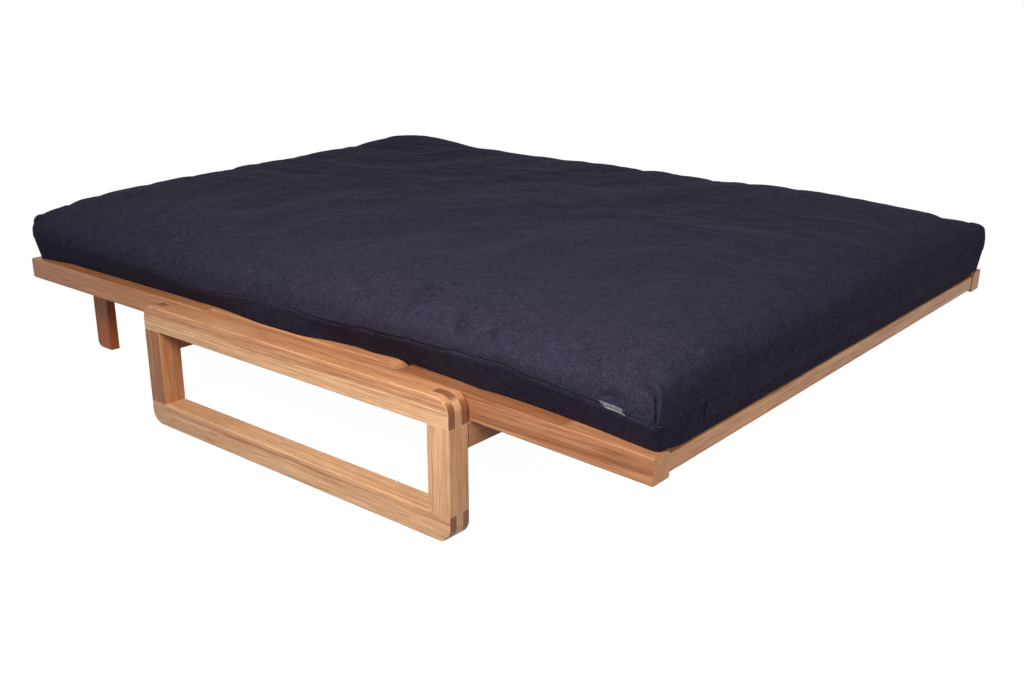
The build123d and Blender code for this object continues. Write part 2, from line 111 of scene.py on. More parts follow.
# Drag lines down from the top over the left side: y, how far in they run, and their depth in millimetres
DRAG_LINES = (
    (-0.77, 0.17, 3.0), (-0.66, 0.10, 1.4), (-0.43, 0.10, 1.8), (-0.33, 0.14, 2.2), (-0.10, 0.10, 1.2),
    (0.24, 0.20, 1.8), (0.285, 0.22, 3.0), (0.33, 0.26, 2.2), (0.375, 0.20, 1.8), (0.43, 0.24, 2.2),
    (0.52, 0.20, 1.4), (0.70, 0.15, 1.4),
)

# Short folds in the top near the left side: x and y of the outer and the inner end, depth in millimetres
SHORT_FOLDS = (
    (-0.70, -0.235, -0.555, -0.270, 7), (-0.735, -0.392, -0.625, -0.376, 12),
    (-0.750, -0.530, -0.675, -0.500, 12), (-0.745, -0.594, -0.655, -0.612, 10),
)

# Folds: half width of the furrow, then the ridge's share of its depth, place aside and half width, in mm
drag_profile = (6, 0.9, -11, 10)
fold_profile = (9, 0.6, -20, 13)
hook_profile = (3.2, 0.5, 9, 6)
hook_depth = 10

# Cloth simulation: how long it runs, how much of what it moves is kept, how firmly the corners and each
# height are held to the filling, and its settings
cloth_frames = 20
cloth_cap = 9 * MM
cloth_lift = 8 * MM
cloth_share = 0.6
cloth_lift_reach = 50 * MM
corner_hold, corner_hold_reach = 0.9, 60 * MM
CLOTH_HOLD = ((0, 1.0), (seam_height, 0.50), (2 * seam_height, 0.16))
CLOTH_SETTINGS = {
    "quality": 5,
    "mass": 0.3,
    "tension_stiffness": 25,
    "compression_stiffness": 25,
    "shear_stiffness": 8,
    "bending_stiffness": 0.2,
    "use_pressure": True,
    "uniform_pressure_force": 4,
    "vertex_group_mass": "core",
    "pin_stiffness": 0.6,
    "vertex_group_shrink": "seam",
    "shrink_min": -0.02,
    "shrink_max": 0.04,
}

# Section of the welt: outward and up, millimetres
WELT_SECTION = ((-1.5, -1.0), (0.9, -0.9), (1.8, -0.2), (1.9, 0.5), (1.2, 1.1), (-1.5, 1.2))
welt_unevenness = 0.12

# A stitch of thread: length, gap to the next and half thickness, and its rings: share, girth and lift
stitch_length, stitch_gap, stitch_half = 6.5 * MM, 2.5 * MM, 0.7 * MM
STITCH_RINGS = ((0.0, 0.3, 0.0), (0.12, 0.85, 0.6), (0.5, 1.0, 1.0), (0.88, 0.85, 0.6), (1.0, 0.3, 0.0))
stitch_sides = 6
stitch_stand = 1.4 * MM

# Placket: half length, way up to its stitches and its tacks', and section: way up and lift, millimetres
placket_reach = 0.61
placket_stitch_travel = -4.5 * MM
TACK_TRAVEL = (-3, -10, -18, -26, -36)
PLACKET_SECTION = (
    (-0.5, -0.8), (-1.2, 1.0), (-4.5, 1.3), (-12, 1.7), (-20, 1.6), (-28, 1.4), (-34, 1.3), (-37, 1.1),
    (-38, -0.8),
)
wall_rows_below, wall_rows_above = 6, 3

# Ends of the tag, which is caught in the left seam, and how far its fold leans to the rear
tag_rear_y, tag_front_y = -0.848, -0.893
tag_lean = 3 * MM
tag_steps = 20
tag_tuck, tag_tuck_share, tag_tuck_height = 0.45, 0.18, 11
tag_curl = 0.10

# Section of the tag, folded over and standing out of the seam: outward and up, millimetres
TAG_SECTION = (
    (-0.5, -0.6), (3.4, 0.0), (5.6, 2.2), (7.0, 5.4), (7.6, 8.8), (7.3, 11.4), (6.6, 11.9), (6.0, 10.8),
    (5.8, 8.6), (5.0, 5.6), (3.4, 3.2), (1.4, 2.0), (-0.5, 1.6),
)
tag_height = 12

# The seat leaf rests turned about the first fold
seat_fall = math.radians(1.8)
first_fold = Vector((0, -0.392, 0.256))
seat_turn_blend = 60 * MM

# Wood: words in a node's name, and the screen colours of its pale staves, red staves and end grain. Some
# rows are darker and redder as painted shade.
end_brown = (150, 100, 68)
WOOD_FINISHES_AND_SHADE = (
    # Painted shade: the rear hoop legs' finish is darker and redder for the shade they stand in.
    (("hoop_rear_leg",), (200, 138, 90), (170, 108, 66), end_brown),
    (("hoop",), (244, 194, 146), (212, 150, 104), end_brown),
    # Painted shade: the small legs', cross rails' and runners' finishes are redder, and the rails' darker,
    # for the shade under the bed where they stand.
    (("small_leg",), (246, 140, 66), (220, 116, 52), end_brown),
    (("cross_rail", "runner"), (204, 142, 94), (180, 114, 70), end_brown),
    (("slat", "bearer", "dowel"), (230, 180, 132), (212, 156, 110), end_brown),
    (("seat_rail",), (196, 138, 96), (162, 104, 66), (236, 168, 114)),
    (("seat_front_rail",), (240, 180, 128), (212, 144, 96), end_brown),
    (("",), (222, 162, 114), (190, 124, 82), (206, 150, 108)),
)
FINISH_INPUTS = ("Pale stave", "Red stave", "End grain")
first_wood_seed = 40

# Depth of the paler band along the bottom of some pieces
PALE_EDGES = (("seat_rail", 17 * MM), ("hoop_top_rail", 34 * MM), ("hoop_foot_rail", 38 * MM))

# Layers of fibre: squeeze along the grain, scale, roughness, range, and the least and the most darkening
FIBRE_LAYERS = (
    (0.035, 470.0, 0.62, 0.44, 0.72, 0.0, 0.38),
    (0.030, 120.0, 0.55, 0.35, 0.75, -0.06, 0.22),
    (0.020, 760.0, 0.65, 0.30, 0.75, -0.08, 0.22),
)

STEEL_NODES = {
    "left_hinge_plate", "right_hinge_plate", "seat_hinge_pins", "tail_hinge_pins", "back_butt_leaves",
    "tail_butt_leaves",
}

# Lamps: name, place, aim, size and watts. Stage: half the floor's width, glow of the floor and the room
LAMPS = (
    ("window", (-1.8, -0.75, 1.5), (-0.5, -0.35, 0.3), 0.9, 37),
    ("room", (-1.6, -4.0, 1.6), (0, -0.5, 0.3), 2.2, 52),
)
floor_half = 60.0
floor_glow = 1.12
floor_glow_share = 0.88
room_strength = 0.14


def sight(angle_from_y, dip):
    """The direction of sight, from its bearing off +Y and its dip below level."""
    level = math.cos(dip)
    return Vector((math.sin(angle_from_y) * level, math.cos(angle_from_y) * level, -math.sin(dip)))


# Wiring of materials

class Wiring:
    """Adds nodes to one tree and joins them."""

    def __init__(self, tree):
        self.tree = tree

    def node(self, kind, inputs=None, **settings):
        made = self.tree.nodes.new(kind)
        for name, value in settings.items():
            setattr(made, name, value)
        for socket, value in (inputs or {}).items():
            self.feed(made.inputs[socket], value)
        return made

    def feed(self, socket, value):
        if isinstance(value, bpy.types.NodeSocket):
            self.tree.links.new(value, socket)
        else:
            socket.default_value = value

    def sum(self, operation, *values, clamp=False):
        numbers = dict(enumerate(values))
        return self.node("ShaderNodeMath", numbers, operation=operation, use_clamp=clamp).outputs[0]

    def vector_sum(self, operation, *values):
        made = self.node("ShaderNodeVectorMath", dict(enumerate(values)), operation=operation)
        return made.outputs["Value" if operation == "LENGTH" else "Vector"]

    def noise(self, place, scale, detail=2.0, roughness=0.5, colour=False):
        inputs = {"Vector": place, "Scale": scale, "Detail": detail, "Roughness": roughness}
        return self.node("ShaderNodeTexNoise", inputs).outputs["Color" if colour else "Fac"]

    def squeezed_noise(self, place, squeeze, scale, detail=2.0, roughness=0.5, colour=False):
        """Noise drawn out along one or more axes of a place: squeeze holds a share for each axis."""
        return self.noise(self.vector_sum("MULTIPLY", place, squeeze), scale, detail, roughness, colour)

    def step(self, value, low, high, to_low=0.0, to_high=1.0):
        """value taken smoothly from low..high to to_low..to_high."""
        numbers = dict(enumerate((value, low, high, to_low, to_high)))
        return self.node("ShaderNodeMapRange", numbers, interpolation_type="SMOOTHSTEP").outputs["Result"]

    def mix(self, share, a, b, blend="MIX"):
        made = self.node("ShaderNodeMix", {0: share, 6: a, 7: b}, data_type="RGBA", blend_type=blend)
        return made.outputs[2]

    def parts(self, vector):
        return self.node("ShaderNodeSeparateXYZ", {0: vector}).outputs

    def vector(self, x, y, z):
        return self.node("ShaderNodeCombineXYZ", {0: x, 1: y, 2: z}).outputs[0]


SOCKETS = {"value": "NodeSocketFloat", "colour": "NodeSocketColor", "place": "NodeSocketVector"}


def effect(name, inputs):
    """A node group with sockets only: (wiring, its inputs' sockets, its output node)."""
    tree = bpy.data.node_groups.new(name, "ShaderNodeTree")
    for label, (kind, default) in inputs.items():
        socket = tree.interface.new_socket(name=label, in_out="INPUT", socket_type=SOCKETS[kind])
        if default is not None:
            socket.default_value = default
    for label, kind in {"Colour": "colour", "Roughness": "value", "Height": "value"}.items():
        tree.interface.new_socket(name=label, in_out="OUTPUT", socket_type=SOCKETS[kind])
    wiring = Wiring(tree)
    return wiring, wiring.node("NodeGroupInput").outputs, wiring.node("NodeGroupOutput")


def srgb(red, green, blue):
    """A colour as it shows on a screen, 0 to 255, as the linear colour that a socket takes."""
    shares = [c / 255 for c in (red, green, blue)]
    return (*[c / 12.92 if c <= 0.04045 else ((c + 0.055) / 1.055) ** 2.4 for c in shares], 1)


# Shared effects

def make_wood_effect():
    """Hardwood glued up from staves, the grain along Z of Place, with year lines, fibres and the end cut."""
    w, given, out = effect("wood figure", {
        "Place": ("place", None),
        "Across": ("value", 0.0),
        "Stave width": ("value", 27 * MM),
        "Pale edge": ("value", 0.0),
        "End cut": ("value", 0.0),
        "Line spacing": ("value", 3.0 * MM),
        "Pale stave": ("colour", srgb(232, 182, 136)),
        "Red stave": ("colour", srgb(206, 146, 104)),
        "End grain": ("colour", srgb(*end_brown)),
    })
    staves = w.sum("DIVIDE", given["Across"], given["Stave width"])
    stave = w.sum("FLOOR", staves)
    tone = w.node("ShaderNodeTexWhiteNoise", {"Vector": w.vector(stave, 3.7, 0.4)}).outputs["Value"]
    shift = w.vector(w.sum("MULTIPLY", tone, 0.11), 0, w.sum("MULTIPLY", tone, 1.9))
    place = w.vector_sum("ADD", given["Place"], shift)
    sway = w.squeezed_noise(place, (1, 1, 0.08), 14.0, 3.0, 0.55, colour=True)
    sway = w.vector_sum("MULTIPLY", w.vector_sum("SUBTRACT", sway, (0.5, 0.5, 0.5)), (0.022, 0.022, 0))
    swayed = w.vector_sum("ADD", place, sway)
    radius = w.vector_sum("LENGTH", w.vector_sum("MULTIPLY", swayed, (1, 1, 0.010)))
    turns = w.sum("DIVIDE", radius, given["Line spacing"])
    share = w.sum("FRACT", turns)
    year = w.noise(w.vector(w.sum("FLOOR", turns), 0.5, 0.5), 0.73, 0.0)
    late = w.sum("MULTIPLY", w.step(share, 0.10, 0.90), w.step(share, 1.0, 0.90))
    late = w.sum("MULTIPLY", late, w.step(year, 0.25, 0.8, 0.15, 1.0))
    figure = w.sum("MULTIPLY", late, 0.30)
    layers = []
    for squeeze, scale, roughness, low, high, least, most in FIBRE_LAYERS:
        layers.append(w.squeezed_noise(place, (1, 1, squeeze), scale, 3.0, roughness))
        figure = w.sum("ADD", figure, w.step(layers[-1], low, high, least, most))
    pore_place = w.vector_sum("MULTIPLY", place, (1, 1, 0.055))
    pores = w.node("ShaderNodeTexVoronoi", {"Vector": pore_place, "Scale": 460.0, "Randomness": 1.0})
    pores = w.step(pores.outputs["Distance"], 0.26, 0.10)
    figure = w.sum("ADD", figure, w.sum("MULTIPLY", pores, 0.16), clamp=True)
    broad = w.step(w.squeezed_noise(place, (1, 1, 0.22), 16.0), 0.3, 0.7, -0.25, 0.25)
    paleness = w.sum("ADD", w.step(tone, 0.25, 0.75, 0.1, 0.75), broad, clamp=True)
    paleness = w.sum("MAXIMUM", paleness, given["Pale edge"])
    colour = w.mix(paleness, given["Red stave"], given["Pale stave"])
    colour = w.mix(figure, colour, srgb(158, 106, 72), "MULTIPLY")
    joint = w.sum("ABSOLUTE", w.sum("SUBTRACT", w.sum("FRACT", staves), 0.5))
    colour = w.mix(w.step(joint, 0.485, 0.497, 0.0, 0.35), colour, srgb(120, 76, 50))
    rays = w.squeezed_noise(place, (1, 1, 0.3), 900.0, 2.0, 0.6)
    cut = w.mix(w.sum("MULTIPLY", late, 0.6), given["End grain"], srgb(150, 128, 118), "MULTIPLY")
    cut = w.mix(w.step(rays, 0.45, 0.75, 0.0, 0.6), cut, srgb(140, 120, 110), "MULTIPLY")
    colour = w.mix(given["End cut"], colour, cut)
    w.feed(out.inputs["Colour"], colour)
    w.feed(out.inputs["Roughness"], w.step(figure, 0.0, 1.0, 0.42, 0.60))
    strokes = w.sum("MULTIPLY", layers[0], 0.6)
    w.feed(out.inputs["Height"], w.sum("ADD", strokes, w.sum("MULTIPLY", pores, -0.7)))
    return w.tree


def make_linen_effect():
    """Plain-woven linen, threads along X and Y of Place: uneven threads, flecks and soft mottling."""
    w, given, out = effect("linen weave", {
        "Place": ("place", None),
        "Thread spacing": ("value", 1.7 * MM),
        "Deep": ("colour", srgb(30, 26, 42)),
        "Lit": ("colour", srgb(92, 84, 108)),
        "Wear": ("value", 0.0),
    })
    place = given["Place"]
    waver = w.vector_sum("SUBTRACT", w.noise(place, 22.0, colour=True), (0.5, 0.5, 0.5))
    place = w.vector_sum("ADD", place, w.vector_sum("MULTIPLY", waver, (0.0014, 0.0014, 0)))
    x, y, _ = w.parts(place)
    threads = []
    for along in (x, y):
        turn = w.sum("MULTIPLY", w.sum("DIVIDE", along, given["Thread spacing"]), math.pi)
        threads.append(w.sum("SINE", turn))
    over = w.step(w.sum("MULTIPLY", *threads), -0.6, 0.6)
    slubs = []
    for squeeze in ((1, 0.08, 1), (0.08, 1, 1)):
        slubs.append(w.step(w.squeezed_noise(place, squeeze, 760.0, 2.0, 0.65), 0.40, 0.80))
    slubs = w.sum("MAXIMUM", *slubs)
    flecks = w.noise(place, 640.0, 2.0, 0.7)
    mottling = w.noise(place, 22.0)
    lightness = w.sum("MULTIPLY", over, 0.14)
    lightness = w.sum("ADD", lightness, w.sum("MULTIPLY", slubs, 0.62))
    lightness = w.sum("ADD", lightness, w.step(flecks, 0.35, 0.72, -0.04, 0.18))
    lightness = w.sum("ADD", lightness, w.step(mottling, 0.3, 0.7, -0.03, 0.03))
    lightness = w.sum("ADD", lightness, given["Wear"], clamp=True)
    w.feed(out.inputs["Colour"], w.mix(lightness, given["Deep"], given["Lit"]))
    w.feed(out.inputs["Roughness"], w.step(slubs, 0.0, 1.0, 0.95, 0.80))
    w.feed(out.inputs["Height"], w.sum("ADD", w.sum("MULTIPLY", over, 0.5), slubs))
    return w.tree


def make_steel_effect():
    """Rolled steel under a thin zinc coat: fine draw lines along Y, soft clouding and a few scuffs."""
    w, given, out = effect("rolled steel", {
        "Place": ("place", None),
        "Base": ("colour", srgb(176, 174, 170)),
    })
    lines = w.squeezed_noise(given["Place"], (1, 0.02, 1), 2400.0, 2.0, 0.6)
    clouds = w.noise(given["Place"], 90.0, 3.0, 0.6)
    scuffs = w.step(w.squeezed_noise(given["Place"], (1, 0.1, 1), 700.0, 1.0), 0.66, 0.74)
    shade = w.sum("ADD", w.step(lines, 0.3, 0.7, 0.0, 0.25), w.step(clouds, 0.3, 0.7, 0.0, 0.35))
    colour = w.mix(shade, given["Base"], srgb(120, 116, 110))
    w.feed(out.inputs["Colour"], w.mix(w.sum("MULTIPLY", scuffs, 0.4), colour, srgb(214, 212, 206)))
    w.feed(out.inputs["Roughness"], w.step(clouds, 0.3, 0.7, 0.30, 0.48))
    w.feed(out.inputs["Height"], lines)
    return w.tree


def new_material(name):
    """A material with its nodes cleared: (material, wiring, its Principled shader)."""
    made = bpy.data.materials.new(name)
    made.use_nodes = True
    made.node_tree.nodes.clear()
    w = Wiring(made.node_tree)
    shader = w.node("ShaderNodeBsdfPrincipled")
    w.node("ShaderNodeOutputMaterial", {"Surface": shader.outputs[0]})
    return made, w, shader


def use_effect(w, shader, tree, inputs, bump):
    """Places a shared effect, and feeds its colour, roughness and height to the shader."""
    group = w.node("ShaderNodeGroup", node_tree=tree)
    for label, value in inputs.items():
        w.feed(group.inputs[label], value)
    w.feed(shader.inputs["Base Color"], group.outputs["Colour"])
    w.feed(shader.inputs["Roughness"], group.outputs["Roughness"])
    raised = w.node("ShaderNodeBump", {"Height": group.outputs["Height"], "Distance": bump, "Strength": 1.0})
    w.feed(shader.inputs["Normal"], raised.outputs["Normal"])


def wood_material(name, grain, seed, finish_and_shade, low, high, pale_below=0.0):
    """Wood with its grain along one axis, its own place in the log, and staves across its widest way."""
    made, w, shader = new_material(name)
    coordinates = w.node("ShaderNodeTexCoord")
    axes = w.parts(coordinates.outputs["Object"])
    draw = np.random.default_rng(seed)
    angle = draw.uniform(0, 2 * math.pi)
    pith = (0.16 * math.cos(angle), 0.16 * math.sin(angle), draw.uniform(-9, 9))
    place = w.vector_sum("ADD", w.vector(axes[grain - 2], axes[grain - 1], axes[grain]), pith)
    normal = w.parts(coordinates.outputs["Normal"])[grain]
    ways = [k for k in range(3) if k != grain]
    wide = 1 if grain == 2 else max(ways, key=lambda k: (high - low)[k])
    across = w.sum("ADD", axes[wide], draw.uniform(4, 9) - low[wide])
    end_cut = w.step(w.sum("ABSOLUTE", normal), 0.62, 0.9)
    inputs = {"Place": place, "Across": across, "End cut": end_cut, **finish_and_shade}
    if pale_below:
        edge = w.squeezed_noise(coordinates.outputs["Object"], (1, 0.10, 1), 34.0)
        level = w.sum("ADD", axes[2], w.step(edge, 0.2, 0.8, -0.005, 0.005))
        inputs["Pale edge"] = w.step(level, low.z + pale_below, low.z + pale_below - 2 * MM)
    use_effect(w, shader, effects["wood"], inputs, 0.10 * MM)
    shader.inputs["Specular IOR Level"].default_value = 0.35
    return made


def linen_material(name, deep, lit, spacing, bump, banded=False):
    """Woven cloth. A banded one has a pale selvedge along the low edge of its map, and is darker past it."""
    made, w, shader = new_material(name)
    place = w.node("ShaderNodeUVMap", uv_map="cloth").outputs[0]
    wear = w.step(w.parts(place)[1], 9.6 * MM, 10.6 * MM, 0.35, -0.30) if banded else 0.0
    inputs = {"Place": place, "Thread spacing": spacing, "Deep": deep, "Lit": lit, "Wear": wear}
    use_effect(w, shader, effects["linen"], inputs, bump)
    shader.inputs["Specular IOR Level"].default_value = 0.06
    shader.inputs["Sheen Weight"].default_value = 0.03
    shader.inputs["Sheen Roughness"].default_value = 0.5
    shader.inputs["Sheen Tint"].default_value = srgb(150, 140, 175)
    return made


def steel_material(name, base):
    made, w, shader = new_material(name)
    place = w.node("ShaderNodeTexCoord").outputs["Object"]
    use_effect(w, shader, effects["steel"], {"Place": place, "Base": base}, 0.02 * MM)
    shader.inputs["Metallic"].default_value = 1.0
    return made


# Pieces

def linked(name, data):
    """A new object in the scene."""
    made = bpy.data.objects.new(name, data)
    bpy.context.scene.collection.objects.link(made)
    return made


def mesh_piece(name, places, faces):
    mesh = bpy.data.meshes.new(name)
    mesh.from_pydata([tuple(p) for p in places], [], [tuple(int(i) for i in f) for f in faces])
    mesh.update()
    mesh.polygons.foreach_set("use_smooth", [True] * len(mesh.polygons))
    return linked(name, mesh)


def cloth_piece(name, places, faces, marks, cloth):
    """A piece of cloth whose threads follow marks, a place on the flat cloth for each vertex."""
    made = mesh_piece(name, places, faces)
    layer = made.data.uv_layers.new(name="cloth")
    loops = np.array(marks)[[loop.vertex_index for loop in made.data.loops]]
    layer.uv.foreach_set("vector", loops.astype(np.float32).ravel())
    made.data.materials.append(cloth)
    return made


def triples(items, field):
    """One field of three numbers of each mesh item, as an array."""
    flat = np.empty(len(items) * 3, np.float32)
    items.foreach_get(field, flat)
    return flat.reshape(-1, 3)


def places_of(mesh):
    return triples(mesh.vertices, "co").astype(float)


def set_places(mesh, places):
    mesh.vertices.foreach_set("co", places.astype(np.float32).ravel())
    mesh.update()


def normals_of(mesh):
    return triples(mesh.vertex_normals, "vector").astype(float)


def strip_faces(length, row, closed=False):
    """Quads over a strip of cross sections, each with row places, which may close into a ring."""
    faces = []
    for i in range(length - 1):
        for j in range(row if closed else row - 1):
            k = (j + 1) % row
            faces.append((i * row + j, (i + 1) * row + j, (i + 1) * row + k, i * row + k))
    return faces


def swell(distance, reach):
    """0 at an edge, rising to 1 well inside it."""
    return 1 - np.exp(-np.maximum(distance, 0) / reach)


def bell(distance, reach):
    return np.exp(-(distance / reach) ** 2)


def ripple(x, y, wavelength, seed, waves=7):
    """Uneven swells of about one wavelength, between -1 and 1, the same on each run."""
    draw = np.random.default_rng(seed)
    total = np.zeros_like(x)
    for _ in range(waves):
        heading, phase = draw.uniform(0, 2 * math.pi, 2)
        turn = 2 * math.pi / (wavelength * draw.uniform(0.7, 1.5))
        total += np.sin(turn * (x * math.cos(heading) + y * math.sin(heading)) + phase)
    return total / waves ** 0.5 / 1.5


class Mattress:
    """Sizes of the whole mattress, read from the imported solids."""

    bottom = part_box("mattress_back")[0].z
    half_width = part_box("mattress_back")[1].x
    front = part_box("mattress_seat")[0].y
    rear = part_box("mattress_tail")[1].y
    middle_y = (front + rear) / 2
    half_length = (rear - front) / 2


def travel_along(points):
    """The way from the first point of a line to each of its points."""
    return np.concatenate([[0], np.cumsum(np.linalg.norm(np.diff(points, axis=0), axis=1))])


def place_along(at, ways, points):
    """The place at one way along a line of points."""
    return np.array([np.interp(at, ways, points[:, k]) for k in range(3)])


def graded_line(half, inner):
    """Grid lines across one way: even in the middle, closer in the rounded corners."""
    straight = half - inner
    even = straight - edge_zone
    middle = np.linspace(-even, even, round(2 * even / cover_spacing) + 1)
    edge = even + np.linspace(0, edge_zone, round(edge_zone / edge_spacing) + 1)[1:]
    corner = straight + np.linspace(0, inner, corner_steps + 1)[1:]
    side = np.concatenate([edge, corner])
    return np.concatenate([-side[::-1], middle, side])


def rounded(x, y, half_x, half_y, radius):
    """Grid points in a corner square moved into the quarter disc that rounds it."""
    over_x = np.maximum(np.abs(x) - (half_x - radius), 0)
    over_y = np.maximum(np.abs(y) - (half_y - radius), 0)
    share_x = over_x * np.sqrt(1 - over_y ** 2 / (2 * radius ** 2))
    share_y = over_y * np.sqrt(1 - over_x ** 2 / (2 * radius ** 2))
    return x + np.sign(x) * (share_x - over_x), y + np.sign(y) * (share_y - over_y)


def crown(x, y):
    """Height of the mattress top over its bottom: steep at the ends, softer at the sides, with swells."""
    m = Mattress
    side = np.maximum(m.half_width - np.abs(x), MM) / side_reach
    front = np.maximum(y - m.front, MM) / front_reach
    rear = np.maximum(m.rear - y, MM) / rear_reach
    inward = (side ** -3 + front ** -3 + rear ** -3) ** (-1 / 3)
    gain = crown_gain + 4 * MM * ripple(x * 0.5, y, 0.30, 3) + 2 * MM * ripple(x, y, 0.22, 4)
    for middle_x, middle_y, reach_x, reach_y, rise in TOP_SWELLS:
        gain += rise * MM * bell(x - middle_x, reach_x) * bell(y - middle_y, reach_y)
    return edge_rise + gain * (1 - np.exp(-inward ** edge_power))


def pulled(x, y, pull_x, pull_y, rear_share):
    """Points drawn out towards the nearest corner of the mattress, the more the nearer they lie."""
    m = Mattress
    away = np.hypot(np.abs(x) - m.half_width + rim_inset, np.abs(y) - m.half_length + rim_inset)
    share = bell(away, 45 * MM) * np.where(y > 0, rear_share, 1)
    return x + np.sign(x) * pull_x * share, y + np.sign(y) * pull_y * share


def mattress_cover(linen, shaded_boxing_linen):
    """The whole closed cover before any cloth work, and its wall's vertices, row by row, by height share."""
    m = Mattress
    half_x, half_y = m.half_width - rim_inset, m.half_length - rim_inset
    lines = graded_line(half_x, rim_radius), graded_line(half_y, rim_radius)
    grid_x, grid_y = np.meshgrid(*lines, indexing="ij")
    flat_x, flat_y = rounded(grid_x, grid_y, half_x, half_y, rim_radius)
    index = np.arange(grid_x.size).reshape(grid_x.shape)
    ring = np.concatenate([index[:-1, 0], index[-1, :-1], index[:0:-1, -1], index[0, :0:-1]])
    ring_x, ring_y = flat_x.ravel()[ring], flat_y.ravel()[ring]
    straight_x, straight_y = half_x - rim_radius, half_y - rim_radius
    run_x, run_y = np.clip(ring_x / straight_x, -1, 1), np.clip(ring_y / straight_y, -1, 1)
    outward = np.stack([ring_x - run_x * straight_x, ring_y - run_y * straight_y], 1)
    outward /= np.linalg.norm(outward, axis=1)[:, None]
    outer_x = run_x * (m.half_width - outer_radius) + outward[:, 0] * outer_radius
    outer_y = run_y * (m.half_length - outer_radius) + outward[:, 1] * outer_radius
    outer_x, outer_y = pulled(outer_x, outer_y, 2 * MM, 5 * MM, 0)

    # The waist seam
    on_left = np.clip(-outward[:, 0], 0, 1) ** 2
    seam = seam_height + 1.5 * MM * ripple(ring_x, ring_y, 0.3, 5)
    seam += on_left * (np.interp(ring_y + m.middle_y, *zip(*LEFT_SEAM[::-1])) * MM - seam)
    seam -= 6 * MM * bell(np.hypot(ring_x + m.half_width, ring_y + m.half_length), 75 * MM)

    top_x, top_y = pulled(flat_x, flat_y, corner_pull, corner_pull, rear_corner_pull / corner_pull)
    top = np.stack([top_x.ravel(), top_y.ravel(), crown(flat_x, flat_y + m.middle_y).ravel()], 1)
    foot_half_x, foot_half_y = m.half_width - foot_inset, m.half_length - foot_inset
    foot_x, foot_y = grid_x * foot_half_x / half_x, grid_y * foot_half_y / half_y
    foot_x, foot_y = rounded(foot_x, foot_y, foot_half_x, foot_half_y, foot_radius)
    near_left = (1 - np.clip((foot_x + foot_half_x) / near_foot_zone, 0, 1)) ** 2
    foot_x += near_left * (np.interp(foot_y + m.middle_y, *zip(*LEFT_FOOT[::-1])) * MM - foot_inset)
    to_end = m.half_length - np.abs(foot_y)
    between_rails = np.clip((rail_inner_x - np.abs(foot_x)) / (35 * MM), 0, 1)
    sag = end_sag * between_rails * np.clip(1 - (to_end - foot_inset) / (35 * MM), 0, 1)
    bottom = np.stack([foot_x.ravel(), foot_y.ravel(), -sag.ravel()], 1)

    rim, foot = top[ring], bottom[ring]
    outer = np.stack([outer_x, outer_y, seam], 1)

    def between(end, inward, along):
        return outer + (end - outer) * (inward, inward, along)

    blocks = [top]
    blocks += [between(rim, *shares) for shares in UPPER_WALL[-2::-1]]
    blocks.append(outer + (foot - outer) * (seam_tuck_share, seam_tuck_share, 0))
    blocks += [between(foot, inward, 1 - up) for inward, up in LOWER_WALL[:-1]]
    blocks.append(bottom)
    starts = np.cumsum([0] + [len(block) for block in blocks])
    wall_rows = [np.arange(start, start + len(ring)) for start in starts[1:-2]]
    rows = [ring] + wall_rows + [ring + starts[-2]]
    places = np.concatenate(blocks) + (0, m.middle_y, m.bottom)

    quads = np.stack([index[:-1, :-1], index[1:, :-1], index[1:, 1:], index[:-1, 1:]], -1).reshape(-1, 4)
    faces = [quads, quads[:, ::-1] + starts[-2]]
    for upper, lower in zip(rows, rows[1:]):
        faces.append(np.stack([upper, lower, np.roll(lower, -1), np.roll(upper, -1)], 1))
    cover = mesh_piece("mattress_cover", places, np.concatenate(faces))
    # The wall below the waist seam and the bottom take the darker linen: painted shade under the seam.
    in_boxing = np.arange(len(cover.data.polygons)) >= len(quads) * 2 + len(UPPER_WALL) * len(ring)
    in_boxing[len(quads):2 * len(quads)] = True
    cover.data.materials.append(linen)
    cover.data.materials.append(shaded_boxing_linen)
    cover.data.polygons.foreach_set("material_index", in_boxing.astype(np.int32))

    # The cloth map: threads run along X and Y, and go on down the walls, with a join at each corner
    turn = np.arctan2(np.abs(outward[:, 0]), np.abs(outward[:, 1]))
    arc = 2 * outer_radius
    along_x = run_x * straight_x + np.sign(ring_x) * arc * turn * (np.abs(run_x) == 1)
    along_y = run_y * straight_y + np.sign(ring_y) * arc * (math.pi / 2 - turn) * (np.abs(run_y) == 1)
    next_outward = outward + np.roll(outward, -1, axis=0)
    sideways = np.abs(next_outward[:, 0]) >= np.abs(next_outward[:, 1])

    def wall_map(order, travel):
        x, y = np.roll(along_x, -order), np.roll(along_y, -order)
        on_side = np.stack([np.sign(next_outward[:, 0]) * (half_x + travel), y], 1)
        on_end = np.stack([x, np.sign(next_outward[:, 1]) * (half_y + travel)], 1)
        return np.where(sideways[:, None], on_side, on_end)

    middle = len(ring) // 8
    travel = travel_along(places[[row[middle] for row in rows]])
    top_map = np.stack([flat_x.ravel(), flat_y.ravel()], 1)
    maps = [top_map[quads], top_map[quads[:, ::-1]]]
    for upper, lower in zip(travel, travel[1:]):
        corners = wall_map(0, upper), wall_map(0, lower), wall_map(1, lower), wall_map(1, upper)
        maps.append(np.stack(corners, 1))
    layer = cover.data.uv_layers.new(name="cloth")
    flat = np.concatenate([part.ravel() for part in maps])
    layer.uv.foreach_set("vector", flat.astype(np.float32))
    return cover, rows


